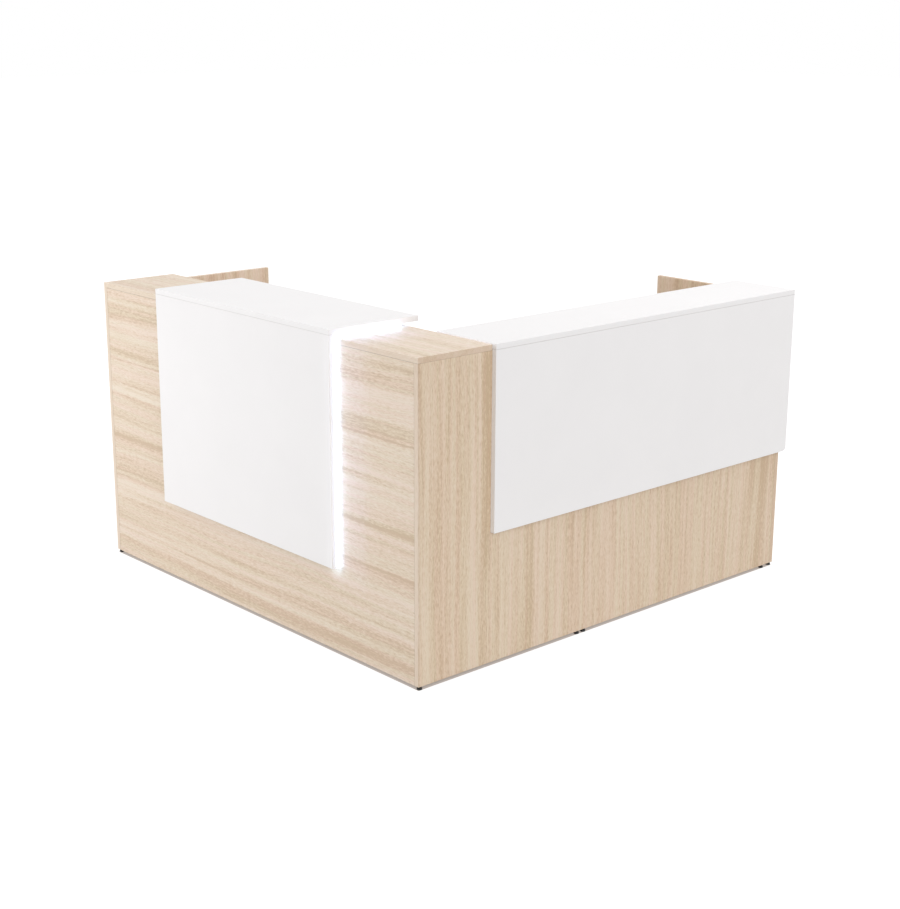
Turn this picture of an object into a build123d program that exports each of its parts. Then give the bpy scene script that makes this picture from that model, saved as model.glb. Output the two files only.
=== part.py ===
from build123d import *
import os

# Reception desk in an L, built of laminated boards.
#
# Units are millimetres, +Z is up and the floor is z = 0. The left wing runs along X and turns its
# visitors' side towards -Y. The right wing runs along Y and turns its visitors' side towards +X.
# The two visitors' sides meet at the outer corner. The origin is on the floor, below the middle of
# the desk's bounding box.

os.makedirs("parts", exist_ok=True)

# ---------------------------------------------------------------- driving sizes
# Wings
left_len = 1800.0  # outer corner to the far end of the left wing
right_len = 1806.0  # outer corner to the far end of the right wing
left_depth = 745.0  # end panels of the left wing, front to rear
right_depth = 615.0  # end panel of the right wing, front to rear
foot_gap = 12.0  # floor to the underside of the panels
carcass_z = 1050.0  # upper edge of the panels
worktop_z = 740.0  # upper face of the work surfaces
board_t = 18.0
white_t = 18.0
worktop_t = 25.0
worktop_clear = 1.0  # between a work surface and the panels at its ends
ease = 0.8  # radius on the edges of the boards

# Counters and cladding
counter_depth = 304.0
white_counter_depth = 260.0  # inwards from the wood's outer face
packer_t = 4.0  # washers between the right wing's panels and its white counter
overhang = 18.0  # white boards past the right wing's far end
cladding_bottom = 458.0
cladding_corner_r = 16.0  # lower corner that stands past the end panel

# Wrap: white front and top boards that stand off the left wing
wrap_gap = 14.0
wrap_width = 1000.0
wrap_inset = 389.0  # outer corner to the wrap's lit edge
wrap_bottom = 310.0
wrap_depth = 340.0  # from the wood's front face to the rear edge of the wrap's top
batten_w = 40.0
batten_inset = 50.0  # wrap's dark edge to the middle of the first batten
batten_lit_inset = 70.0  # wrap's lit edge to the middle of the last batten
batten_end = 20.0  # battens stop short of the boards they carry

# Light line
channel_depth = 16.0
channel_wall = 1.2
diffuser_lip = 1.0  # channel's mouth, inside the wrap's edge
diffuser_stem = 3.0
diffuser_proud = 5.0
snap_clear = 0.1
tape_w = 8.0
tape_t = 0.4
chip_size = 5.0
chip_t = 1.6
chip_pitch = 25.0
light_setback = 42.0  # counter's rear edge to the end of the light line

# Driver and switch
driver_len = 160.0
driver_h = 44.0
driver_t = 30.0
driver_corner_r = 3.0
driver_edge_r = 1.5
driver_ear = 14.0
driver_ear_t = 4.0
driver_z = 500.0
driver_inset = 130.0  # wrap's lit edge to the middle of the driver
switch_w = 22.0
switch_h = 30.0
switch_bezel_t = 2.0
switch_corner_r = 2.0
switch_wall = 1.5
switch_deep = 14.0
switch_inset = 120.0  # corner end panel to the middle of the switch
switch_drop = 120.0  # upper edge of the panels to the middle of the switch
rocker_clear = 0.5  # each side of the rocker
rocker_end_clear = 1.2  # above and below it, so that its tilt clears the frame
rocker_tilt = 8.0  # degrees each side of the middle
rocker_crown = 3.0
rocker_dip = 1.0
rocker_root = 5.0
pin_d = 3.0
pin_depth = 3.0  # pin's axis behind the panel's inner face
running_clear = 0.05

# Fasteners
cam_d = 15.0
cam_depth = 12.5
cam_reach = 24.0  # joint to the cam's centre
cam_pocket_r = 4.2
bolt_r = 3.4
bolt_thread_r = 2.5
bolt_thread_len = 11.0
dowel_r = 4.0
dowel_in = 20.0
dowel_out = 10.0
dowel_pitch = 32.0
seat_clear = 0.1
tip_clear = 0.5
cam_low = 108.0  # lower edge of the panels to the first cam lock of a corner
cam_second = 468.0
cam_high = 150.0  # upper edge of the panels to the last one
cam_end = 300.0  # end of the left wing to the counter's first lock
cam_near = 90.0  # front of an end panel to its first lock
cam_far = 74.0  # counter's rear edge to the end panel's last lock
cam_side = 200.0  # ends of the side panel to its locks
cam_corner_rear = 160.0
cam_end_panel = 140.0
screw_r = 2.0
screw_head_r = 4.0
screw_head_t = 2.4
screw_bite = 12.0  # thread in the board that a screw ends in
shank_clear = 0.25
wrap_screw_in = 60.0  # lower and rear edges to the wrap's first screws
wrap_screw_top = 50.0  # upper edge of the panels to the wrap's last screws
cladding_screw_in = 65.0  # ends of the cladding's panels to its screws
cladding_screw_low = 80.0
cladding_screw_top = 60.0

# Brackets and plates
bracket_leg = 60.0
bracket_w = 25.0
bracket_t = 2.5
arm_reach = 200.0
arm_drop = 150.0
arm_w = 30.0
arm_t = 5.0
hole_near = 20.0  # inner corner of a bracket to its first hole
hole_edge = 12.0  # end of a leg to its last hole
bracket_count = 4  # along the left wing's front panel
bracket_end = 150.0  # end of the left wing to the first bracket
bracket_rear = 90.0  # open end of a panel to its last bracket
bracket_side = 120.0  # ends of the side panel to its brackets
bracket_corner = 250.0  # outer face to the far panel's first bracket
arm_end = 600.0  # ends of the left wing to the arms
arm_side = 320.0  # ends of the side panel to the arms
plate_len = 90.0
plate_w = 30.0
plate_t = 3.0
plate_hole = 37.0  # middle of a plate to its outer holes
plate_low = 188.0  # lower edge of the panels to the first plate
plate_high = 100.0  # upper edge of the panels to the last one
plate_corner = 300.0
plate_inner = 150.0
packer_r = 15.0

# Cable trays
tray_w = 110.0
tray_drop = 70.0
tray_sheet = 1.5
tray_flange = 18.0
tray_setback = 93.0  # panel's inner face to the near side of the tray
left_tray_len = 1200.0
right_tray_len = 700.0
tray_screw_inset = 60.0
grommet_reach = 450.0  # middle of the left tray to its grommets

# Cable grommets
grommet_r = 30.0
grommet_wall = 3.0
grommet_flange_r = 34.0
grommet_flange_t = 2.5
grommet_long = 28.0
grommet_rim_r = 1.2
ledge_w = 3.0
ledge_t = 2.0
cap_t = 4.0
cap_clear = 0.5
cap_lift = 0.3
cap_edge_r = 0.6
notch_w = 16.0
notch_in = 11.0
hole_clear = 0.3

# Levelling feet
foot_r = 9.0
foot_pad_h = 7.0
foot_bevel = 1.5
foot_neck_r = 6.0
foot_clear = 0.3
stud_r = 3.7
stud_len = 22.0
insert_r = 6.0
insert_bore_r = 4.1
insert_len = 28.0
foot_inset = 12.0  # front end of a panel to its foot
foot_setback = 20.0  # rear end of a panel to its foot
side_foot_inset = 40.0  # far end of the side panel to its foot

# ---------------------------------------------------------------- faces worked out from them
corner_x = (left_len - white_t) / 2
corner_y = -(right_len + overhang - wrap_gap - white_t) / 2
left_x = corner_x - left_len
far_y = corner_y + right_len
rear_y = corner_y + left_depth
inner_x = corner_x - right_depth
left_in = left_x + board_t
corner_in = corner_x - board_t
front_in = corner_y + board_t
far_in = far_y - board_t
counter_z = carcass_z + board_t
counter_rear = corner_y + counter_depth
white_under = carcass_z + packer_t
white_rear = corner_x - white_counter_depth
worktop_under = worktop_z - worktop_t
wrap_right = corner_x - wrap_inset
wrap_left = wrap_right - wrap_width
wrap_back = corner_y - wrap_gap
wrap_face = wrap_back - white_t
wrap_under = counter_z + wrap_gap
wrap_top = wrap_under + white_t
wrap_rear = corner_y + wrap_depth
side_len = far_in - rear_y
switch_z = carcass_z - switch_drop


# ---------------------------------------------------------------- helpers
def facing(origin, along):
    """Plane whose X runs along the given axis, as a screw runs into a board."""
    across = (1, 0, 0) if along[2] else (0, 0, 1)
    return Plane(origin=origin, x_dir=along, z_dir=across)


def upright(origin, away):
    """Plane whose X points away from a panel's face, with Z up."""
    return Plane(origin=origin, x_dir=away, z_dir=(0, 0, 1))


def board(x_span, y_span, z_span):
    """Add a board with eased edges between three (low, high) spans."""
    spans = (x_span, y_span, z_span)
    middle = tuple((low + high) / 2 for low, high in spans)
    with Locations(middle):
        Box(*(high - low for low, high in spans))
    fillet(edges(), ease)


def rod(radius, start, end, mode=Mode.ADD):
    """Add or cut a cylinder along the local X axis."""
    with Locations((start, 0, 0)):
        Cylinder(
            radius,
            end - start,
            rotation=(0, 90, 0),
            align=(Align.CENTER, Align.CENTER, Align.MIN),
            mode=mode,
        )


def block(x_span, y_span, z_span, mode=Mode.ADD):
    """Add or cut a plain block between three local (low, high) spans."""
    spans = (x_span, y_span, z_span)
    middle = tuple((low + high) / 2 for low, high in spans)
    with Locations(middle):
        Box(*(high - low for low, high in spans), mode=mode)


def screw(grip):
    """Add a pan-head screw that clamps the given thickness and bites into the board beyond it."""
    rod(screw_r, 0, grip + screw_bite)
    rod(screw_head_r, -screw_head_t, 0)


def screw_hole(grip):
    """Cut the hole for such a screw: free in the clamped thickness, close where it bites."""
    rod(screw_r + shank_clear, 0, grip, mode=Mode.SUBTRACT)
    rod(screw_r + seat_clear, grip, grip + screw_bite + tip_clear, mode=Mode.SUBTRACT)


def cut_cam_seats(sites):
    """Cut what a board's edge needs for cam locks, their bolts and the dowels beside them."""
    with Locations(*sites):
        rod(bolt_r + shank_clear, 0, cam_reach, mode=Mode.SUBTRACT)
        with Locations((cam_reach, 0, board_t / 2)):
            Cylinder(
                cam_d / 2 + seat_clear,
                cam_depth + seat_clear,
                align=(Align.CENTER, Align.CENTER, Align.MAX),
                mode=Mode.SUBTRACT,
            )
        with Locations((0, dowel_pitch, 0)):
            rod(dowel_r + seat_clear, 0, dowel_in + tip_clear, mode=Mode.SUBTRACT)


def cut_bolt_seats(sites, lift=0.0):
    """Cut what the other board needs: threaded holes, and dowel holes where the boards touch."""
    with Locations(*sites):
        rod(bolt_thread_r + seat_clear, -lift - bolt_thread_len - tip_clear, 0, mode=Mode.SUBTRACT)
        if not lift:
            with Locations((0, dowel_pitch, 0)):
                rod(dowel_r + seat_clear, -dowel_out - tip_clear, 0, mode=Mode.SUBTRACT)


def bracket_screws_at(leg_out, leg_down, thickness):
    """Screw planes of an angle bracket, in the bracket's own frame."""
    return [
        facing((thickness, 0, -hole_near), (-1, 0, 0)),
        facing((thickness, 0, hole_edge - leg_down), (-1, 0, 0)),
        facing((hole_near, 0, -thickness), (0, 0, 1)),
        facing((leg_out - hole_edge, 0, -thickness), (0, 0, 1)),
    ]


def angle_bracket(leg_out, leg_down, width, thickness):
    """Add an angle bracket: one leg under a board, one down a panel's face."""
    block((0, leg_out), (-width / 2, width / 2), (-thickness, 0))
    block((0, thickness), (-width / 2, width / 2), (-leg_down, -thickness))
    with Locations(*bracket_screws_at(leg_out, leg_down, thickness)):
        rod(screw_r + shank_clear, 0, thickness, mode=Mode.SUBTRACT)


def cut_bracket_holes(sites, leg_out, leg_down, thickness):
    """Cut the screw holes of angle brackets in the boards they are fixed to."""
    with Locations(*sites):
        with Locations(*bracket_screws_at(leg_out, leg_down, thickness)):
            screw_hole(thickness)


def save(part, name):
    """Label a finished piece and write it as its own STEP file."""
    part.part.label = name
    export_step(part.part, f"parts/{name}.step")


# ---------------------------------------------------------------- where the fasteners go
left_mid = (left_x + corner_x) / 2
depth_mid = (corner_y + rear_y) / 2
side_mid = (rear_y + far_in) / 2
cam_heights = (foot_gap + cam_low, foot_gap + cam_second, carcass_z - cam_high)
edge_mid_y = corner_y + board_t / 2
edge_mid_x = corner_x - board_t / 2
left_mid_x = left_x + board_t / 2
far_mid_y = far_y - board_t / 2

# Cam planes start on the joint and run into the board that holds the cam; Z looks out of its inner face.
left_joint = [Plane((left_in, edge_mid_y, h), x_dir=(1, 0, 0), z_dir=(0, 1, 0)) for h in cam_heights]
corner_joint = [Plane((corner_in, edge_mid_y, h), x_dir=(-1, 0, 0), z_dir=(0, 1, 0)) for h in cam_heights]
far_joint = [Plane((edge_mid_x, far_in, h), x_dir=(0, -1, 0), z_dir=(-1, 0, 0)) for h in cam_heights]

counter_y_sites = (corner_y + cam_near, counter_rear - cam_far)
counter_x_sites = (left_x + cam_end, left_mid, corner_x - cam_end)
left_counter_joint = [
    Plane((left_mid_x, y, carcass_z), x_dir=(0, 0, -1), z_dir=(1, 0, 0)) for y in counter_y_sites
]
corner_counter_joint = [
    Plane((edge_mid_x, y, carcass_z), x_dir=(0, 0, -1), z_dir=(-1, 0, 0)) for y in counter_y_sites
]
front_counter_joint = [
    Plane((x, edge_mid_y, carcass_z), x_dir=(0, 0, -1), z_dir=(0, 1, 0)) for x in counter_x_sites
]
wood_counter_joints = left_counter_joint + corner_counter_joint + front_counter_joint

corner_white_joint = [
    Plane((edge_mid_x, rear_y - cam_corner_rear, carcass_z), x_dir=(0, 0, -1), z_dir=(-1, 0, 0))
]
side_white_joint = [
    Plane((edge_mid_x, y, carcass_z), x_dir=(0, 0, -1), z_dir=(-1, 0, 0))
    for y in (rear_y + cam_side, side_mid, far_in - cam_side)
]
end_white_joint = [
    Plane((corner_x - cam_end_panel, far_mid_y, carcass_z), x_dir=(0, 0, -1), z_dir=(0, -1, 0))
]
white_counter_joints = corner_white_joint + side_white_joint + end_white_joint

flush_joints = left_joint + corner_joint + far_joint + wood_counter_joints

# Angle brackets under the work surfaces
bracket_pitch = (left_len - 2 * bracket_end) / (bracket_count - 1)
front_brackets = [
    upright((left_x + bracket_end + i * bracket_pitch, front_in, worktop_under), (0, 1, 0))
    for i in range(bracket_count)
]
left_brackets = [
    upright((left_in, y, worktop_under), (1, 0, 0)) for y in (depth_mid, rear_y - bracket_rear)
]
corner_brackets = [
    upright((corner_in, y, worktop_under), (-1, 0, 0)) for y in (depth_mid, rear_y - bracket_rear)
]
side_brackets = [
    upright((corner_in, y, worktop_under), (-1, 0, 0))
    for y in (rear_y + bracket_side, side_mid, far_in - bracket_side)
]
end_brackets = [
    upright((x, far_in, worktop_under), (0, -1, 0))
    for x in (corner_x - bracket_corner, inner_x + bracket_rear)
]
left_worktop_sites = front_brackets + left_brackets + corner_brackets
right_worktop_sites = side_brackets + end_brackets

# Arms under the counters
front_arms = [
    upright((x, front_in, carcass_z), (0, 1, 0)) for x in (left_x + arm_end, corner_x - arm_end)
]
side_arms = [
    upright((corner_in, y, white_under), (-1, 0, 0)) for y in (rear_y + arm_side, far_in - arm_side)
]

# Flat plates across the joint of the two wings, on the panels and under the work surfaces
panel_plates = [
    upright((corner_in, rear_y, h), (-1, 0, 0))
    for h in (foot_gap + plate_low, (foot_gap + carcass_z) / 2, carcass_z - plate_high)
]
worktop_plates = [
    Plane((x, rear_y, worktop_under), x_dir=(0, 0, -1), z_dir=(1, 0, 0))
    for x in (corner_x - plate_corner, inner_x + plate_inner)
]
plate_screws = [
    facing((plate_t, side * reach, 0), (-1, 0, 0)) for side in (-1, 1) for reach in (hole_near, plate_hole)
]

# Screws that hold the wrap through its battens, and the cladding
batten_x = (wrap_left + batten_inset, (wrap_left + wrap_right) / 2, wrap_right - batten_lit_inset)
wrap_front_screws = [
    facing((x, front_in, z), (0, -1, 0))
    for x in batten_x
    for z in (wrap_bottom + wrap_screw_in, (wrap_bottom + carcass_z) / 2, carcass_z - wrap_screw_top)
]
wrap_top_screws = [
    facing((x, y, carcass_z), (0, 0, 1))
    for x in batten_x
    for y in (corner_y + wrap_screw_in, counter_rear - wrap_screw_in)
]
cladding_rows = (cladding_bottom + cladding_screw_low, carcass_z - cladding_screw_top)
corner_cladding_screws = [
    facing((corner_in, counter_rear + cladding_screw_in, z), (1, 0, 0)) for z in cladding_rows
]
side_cladding_screws = [
    facing((corner_in, y, z), (1, 0, 0))
    for y in (rear_y + cladding_screw_in, side_mid, far_in - cladding_screw_in)
    for z in cladding_rows
]

# Cable trays and grommets
left_tray_y = front_in + tray_setback + tray_w / 2
right_tray_x = corner_in - tray_setback - tray_w / 2
left_tray_frame = Plane((left_mid, left_tray_y, worktop_under), x_dir=(1, 0, 0), z_dir=(0, 0, 1))
right_tray_frame = Plane((right_tray_x, side_mid, worktop_under), x_dir=(0, 1, 0), z_dir=(0, 0, 1))
grommets = {
    "left": (left_mid - grommet_reach, left_tray_y),
    "middle": (left_mid + grommet_reach, left_tray_y),
    "right": (right_tray_x, side_mid),
}

# Driver screws and feet
driver_x = wrap_right - driver_inset
driver_screws = [
    facing((driver_x + side * (driver_len + driver_ear) / 2, front_in + driver_ear_t, driver_z), (0, -1, 0))
    for side in (-1, 1)
]
feet = {
    "left_front": (left_mid_x, corner_y + foot_inset),
    "left_rear": (left_mid_x, rear_y - foot_setback),
    "corner_front": (edge_mid_x, corner_y + foot_inset),
    "corner_rear": (edge_mid_x, rear_y - foot_setback),
    "side_near": (edge_mid_x, rear_y + foot_inset),
    "side_far": (edge_mid_x, far_in - side_foot_inset),
    "end_front": (corner_x - foot_inset, far_mid_y),
    "end_rear": (inner_x + foot_setback, far_mid_y),
}


def cut_insert_seats(*names):
    """Cut the blind holes for the foot inserts in a panel's lower edge."""
    for name in names:
        x, y = feet[name]
        with Locations((x, y, foot_gap)):
            Cylinder(
                insert_r + seat_clear,
                insert_len + tip_clear,
                align=(Align.CENTER, Align.CENTER, Align.MIN),
                mode=Mode.SUBTRACT,
            )


def tray_screws_at(length):
    """Screw planes of a cable tray, in the tray's own frame."""
    return [
        facing((x, side * (tray_w + tray_flange) / 2, -tray_sheet), (0, 0, 1))
        for x in (tray_screw_inset - length / 2, 0, length / 2 - tray_screw_inset)
        for side in (-1, 1)
    ]


# ---------------------------------------------------------------- wood boards
panel_z = (foot_gap, carcass_z)

with BuildPart() as left_end_panel:
    board((left_x, left_in), (corner_y, rear_y), panel_z)
    cut_bolt_seats(left_joint)
    cut_cam_seats(left_counter_joint)
    cut_bracket_holes(left_brackets, bracket_leg, bracket_leg, bracket_t)
    cut_insert_seats("left_front", "left_rear")
save(left_end_panel, "left_end_panel")

with BuildPart() as corner_end_panel:
    board((corner_in, corner_x), (corner_y, rear_y), panel_z)
    cut_bolt_seats(corner_joint)
    cut_cam_seats(corner_counter_joint + corner_white_joint)
    cut_bracket_holes(corner_brackets, bracket_leg, bracket_leg, bracket_t)
    cut_insert_seats("corner_front", "corner_rear")
    with Locations(*panel_plates):
        with Locations(*plate_screws):
            screw_hole(plate_t)
    with Locations(*corner_cladding_screws):
        screw_hole(board_t)
save(corner_end_panel, "corner_end_panel")

with BuildPart() as left_front_panel:
    board((left_in, corner_in), (corner_y, front_in), panel_z)
    cut_cam_seats(left_joint + corner_joint + front_counter_joint)
    cut_bracket_holes(front_brackets, bracket_leg, bracket_leg, bracket_t)
    cut_bracket_holes(front_arms, arm_reach, arm_drop, arm_t)
    with Locations(*wrap_front_screws):
        screw_hole(board_t)
    with Locations(*driver_screws):
        screw_hole(driver_ear_t)
    with Locations((corner_in - switch_inset, front_in, switch_z)):
        block(
            (-switch_w / 2 + switch_wall - seat_clear, switch_w / 2 - switch_wall + seat_clear),
            (-switch_deep - tip_clear, 0),
            (-switch_h / 2 + switch_wall - seat_clear, switch_h / 2 - switch_wall + seat_clear),
            mode=Mode.SUBTRACT,
        )
save(left_front_panel, "left_front_panel")

with BuildPart() as left_counter:
    board((left_x, corner_x), (corner_y, counter_rear), (carcass_z, counter_z))
    cut_bolt_seats(wood_counter_joints)
    cut_bracket_holes(front_arms, arm_reach, arm_drop, arm_t)
    with Locations(*wrap_top_screws):
        screw_hole(board_t)
save(left_counter, "left_counter")

with BuildPart() as left_worktop:
    board(
        (left_in + worktop_clear, corner_in - worktop_clear),
        (front_in + worktop_clear, rear_y),
        (worktop_under, worktop_z),
    )
    cut_bracket_holes(left_worktop_sites, bracket_leg, bracket_leg, bracket_t)
    with Locations(*worktop_plates):
        with Locations(*plate_screws):
            screw_hole(plate_t)
    with Locations(left_tray_frame):
        with Locations(*tray_screws_at(left_tray_len)):
            screw_hole(tray_sheet)
    with Locations(*((*grommets[side], worktop_z) for side in ("left", "middle"))):
        Cylinder(grommet_r + hole_clear, 2 * worktop_t, align=Align.CENTER, mode=Mode.SUBTRACT)
save(left_worktop, "left_worktop")

with BuildPart() as right_front_panel:
    board((corner_in, corner_x), (rear_y, far_in), panel_z)
    cut_cam_seats(far_joint + side_white_joint)
    cut_bracket_holes(side_brackets, bracket_leg, bracket_leg, bracket_t)
    cut_bracket_holes(side_arms, arm_reach, arm_drop, arm_t)
    cut_insert_seats("side_near", "side_far")
    with Locations(*panel_plates):
        with Locations(*plate_screws):
            screw_hole(plate_t)
    with Locations(*side_cladding_screws):
        screw_hole(board_t)
save(right_front_panel, "right_front_panel")

with BuildPart() as right_end_panel:
    board((inner_x, corner_x), (far_in, far_y), panel_z)
    cut_bolt_seats(far_joint)
    cut_cam_seats(end_white_joint)
    cut_bracket_holes(end_brackets, bracket_leg, bracket_leg, bracket_t)
    cut_insert_seats("end_front", "end_rear")
save(right_end_panel, "right_end_panel")

with BuildPart() as right_worktop:
    board(
        (inner_x, corner_in - worktop_clear),
        (rear_y, far_in - worktop_clear),
        (worktop_under, worktop_z),
    )
    cut_bracket_holes(right_worktop_sites, bracket_leg, bracket_leg, bracket_t)
    with Locations(*worktop_plates):
        with Locations(*plate_screws):
            screw_hole(plate_t)
    with Locations(right_tray_frame):
        with Locations(*tray_screws_at(right_tray_len)):
            screw_hole(tray_sheet)
    with Locations((*grommets["right"], worktop_z)):
        Cylinder(grommet_r + hole_clear, 2 * worktop_t, align=Align.CENTER, mode=Mode.SUBTRACT)
save(right_worktop, "right_worktop")

# ---------------------------------------------------------------- white boards
with BuildPart() as right_cladding:
    block((corner_x, corner_x + white_t), (counter_rear, far_y + overhang), (cladding_bottom, white_under))
    fillet(edges().filter_by(Axis.X).group_by(Axis.Z)[0].sort_by(Axis.Y)[-1], cladding_corner_r)
    fillet(edges(), ease)
    with Locations(*(corner_cladding_screws + side_cladding_screws)):
        screw_hole(board_t)
save(right_cladding, "right_cladding")

with BuildPart() as right_counter:
    board(
        (white_rear, corner_x + white_t),
        (counter_rear, far_y + overhang),
        (white_under, white_under + white_t),
    )
    cut_bolt_seats(white_counter_joints, lift=packer_t)
    cut_bracket_holes(side_arms, arm_reach, arm_drop, arm_t)
save(right_counter, "right_counter")

with BuildPart() as wrap_front:
    board((wrap_left, wrap_right), (wrap_face, wrap_back), (wrap_bottom, wrap_under))
    with Locations(*wrap_front_screws):
        screw_hole(board_t + wrap_gap)
save(wrap_front, "wrap_front")

with BuildPart() as wrap_top_board:
    board((wrap_left, wrap_right), (wrap_face, wrap_rear), (wrap_under, wrap_top))
    with Locations(*wrap_top_screws):
        screw_hole(board_t + wrap_gap)
save(wrap_top_board, "wrap_top")

# ---------------------------------------------------------------- stand-off battens
with BuildPart() as wrap_front_battens:
    for x in batten_x:
        block(
            (x - batten_w / 2, x + batten_w / 2),
            (wrap_back, corner_y),
            (wrap_bottom + batten_end, counter_z - batten_end),
        )
    with Locations(*wrap_front_screws):
        rod(screw_r + shank_clear, board_t, board_t + wrap_gap, mode=Mode.SUBTRACT)
save(wrap_front_battens, "wrap_front_battens")

with BuildPart() as wrap_top_battens:
    for x in batten_x:
        block(
            (x - batten_w / 2, x + batten_w / 2),
            (corner_y + batten_end, counter_rear - batten_end),
            (counter_z, wrap_under),
        )
    with Locations(*wrap_top_screws):
        rod(screw_r + shank_clear, board_t, board_t + wrap_gap, mode=Mode.SUBTRACT)
save(wrap_top_battens, "wrap_top_battens")

# ---------------------------------------------------------------- light line
# The channels fill the gap at the wrap's lit edge. One runs up the front, the other back over the
# counter, and they meet in a mitre.
mitre = Plane((wrap_right, wrap_back, wrap_under), x_dir=(1, 0, 0), z_dir=(0, 1, 1))
front_line = Plane((wrap_right, wrap_back + wrap_gap / 2, wrap_bottom), x_dir=(1, 0, 0), z_dir=(0, 0, 1))
light_end = counter_rear - light_setback
top_line = Plane((wrap_right, light_end, counter_z + wrap_gap / 2), x_dir=(1, 0, 0), z_dir=(0, -1, 0))
front_run = wrap_under - wrap_bottom
top_run = light_end - wrap_back
mouth_half = wrap_gap / 2 - channel_wall
channel_floor = -channel_depth + channel_wall


def channel(line, length):
    """Add a U channel whose mouth looks along +X."""
    with BuildSketch(line) as section:
        with Locations((-(channel_depth + diffuser_lip) / 2, 0)):
            Rectangle(channel_depth - diffuser_lip, wrap_gap)
        with Locations(((channel_floor - diffuser_lip) / 2, 0)):
            Rectangle(-channel_floor - diffuser_lip, 2 * mouth_half, mode=Mode.SUBTRACT)
    extrude(to_extrude=section.sketch, amount=length)


def diffuser(line, length):
    """Add an opal cover: a stem between the channel's lips and a rounded face that stands proud."""
    stem_half = mouth_half - snap_clear
    with BuildSketch(line) as section:
        with BuildLine():
            Polyline(
                (-diffuser_lip, -wrap_gap / 2),
                (-diffuser_lip, -stem_half),
                (-diffuser_lip - diffuser_stem, -stem_half),
                (-diffuser_lip - diffuser_stem, stem_half),
                (-diffuser_lip, stem_half),
                (-diffuser_lip, wrap_gap / 2),
            )
            ThreePointArc(
                (-diffuser_lip, wrap_gap / 2), (diffuser_proud, 0), (-diffuser_lip, -wrap_gap / 2)
            )
        make_face()
    extrude(to_extrude=section.sketch, amount=length)


with BuildPart() as led_channel_front:
    channel(front_line, front_run)
    split(bisect_by=mitre, keep=Keep.BOTTOM)
save(led_channel_front, "led_channel_front")

with BuildPart() as led_channel_top:
    channel(top_line, top_run)
    split(bisect_by=mitre, keep=Keep.TOP)
save(led_channel_top, "led_channel_top")

with BuildPart() as led_diffuser_front:
    diffuser(front_line, front_run)
    split(bisect_by=mitre, keep=Keep.BOTTOM)
save(led_diffuser_front, "led_diffuser_front")

with BuildPart() as led_diffuser_top:
    diffuser(top_line, top_run)
    split(bisect_by=mitre, keep=Keep.TOP)
save(led_diffuser_top, "led_diffuser_top")

front_tape_run = front_run - wrap_gap
top_tape_run = top_run - wrap_gap
chip_half = chip_size / 2


def strip(line, length):
    """Add the flexible strip on the channel's floor."""
    with Locations(line):
        block((channel_floor, channel_floor + tape_t), (-tape_w / 2, tape_w / 2), (0, length))


def chips(line, length):
    """Add the light chips along a strip, at an even pitch."""
    count = int(length // chip_pitch)
    with Locations(line):
        with Locations(*((0, 0, chip_pitch * (i + 0.5)) for i in range(count))):
            block(
                (channel_floor + tape_t, channel_floor + tape_t + chip_t),
                (-chip_half, chip_half),
                (-chip_half, chip_half),
            )


with BuildPart() as led_strips:
    strip(front_line, front_tape_run)
    strip(top_line, top_tape_run)
save(led_strips, "led_strips")

with BuildPart() as led_chips:
    chips(front_line, front_tape_run)
    chips(top_line, top_tape_run)
save(led_chips, "led_chips")

with BuildPart() as led_driver:
    with Locations((driver_x, front_in, driver_z)):
        block((-driver_len / 2, driver_len / 2), (0, driver_t), (-driver_h / 2, driver_h / 2))
        fillet(edges().filter_by(Axis.Y), driver_corner_r)
        fillet(faces().sort_by(Axis.Y)[-1].edges(), driver_edge_r)
        ear_reach = driver_len / 2 + driver_ear
        block((-ear_reach, ear_reach), (0, driver_ear_t), (-driver_h / 4, driver_h / 4))
    with Locations(*driver_screws):
        rod(screw_r + shank_clear, 0, driver_ear_t, mode=Mode.SUBTRACT)
save(led_driver, "led_driver")

# ---------------------------------------------------------------- rocker switch
# The switch's own plane lies on the front panel's inner face: X across, Y up, Z towards the user.
switch_plane = Plane((corner_in - switch_inset, front_in, switch_z), x_dir=(-1, 0, 0), z_dir=(0, 1, 0))
well_w = switch_w - 4 * switch_wall
well_h = switch_h - 4 * switch_wall

with BuildPart(switch_plane) as switch_housing:
    with BuildSketch(switch_plane):
        RectangleRounded(switch_w, switch_h, switch_corner_r)
    extrude(amount=switch_bezel_t)
    with BuildSketch(switch_plane):
        Rectangle(switch_w - 2 * switch_wall, switch_h - 2 * switch_wall)
    extrude(amount=-switch_deep)
    with BuildSketch(switch_plane.offset(switch_bezel_t)):
        Rectangle(well_w, well_h)
    extrude(amount=-(switch_bezel_t + switch_deep - switch_wall), mode=Mode.SUBTRACT)
    with Locations(facing((0, 0, -pin_depth), (1, 0, 0))):
        rod(pin_d / 2, -switch_w / 2, switch_w / 2, mode=Mode.SUBTRACT)
save(switch_housing, "switch_housing")

with BuildPart(switch_plane) as switch_pin:
    with Locations(facing((0, 0, -pin_depth), (1, 0, 0))):
        rod(pin_d / 2, switch_wall - switch_w / 2, switch_w / 2 - switch_wall)
save(switch_pin, "switch_pin")

# The rocker's section is drawn square about the pin, then turned to the side that is pressed in.
rocker_half = well_h / 2 - rocker_end_clear
rocker_w = well_w - 2 * rocker_clear
rocker_plane = Plane(
    (corner_in - switch_inset, front_in - pin_depth, switch_z), x_dir=(0, 1, 0), z_dir=(1, 0, 0)
)

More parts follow.
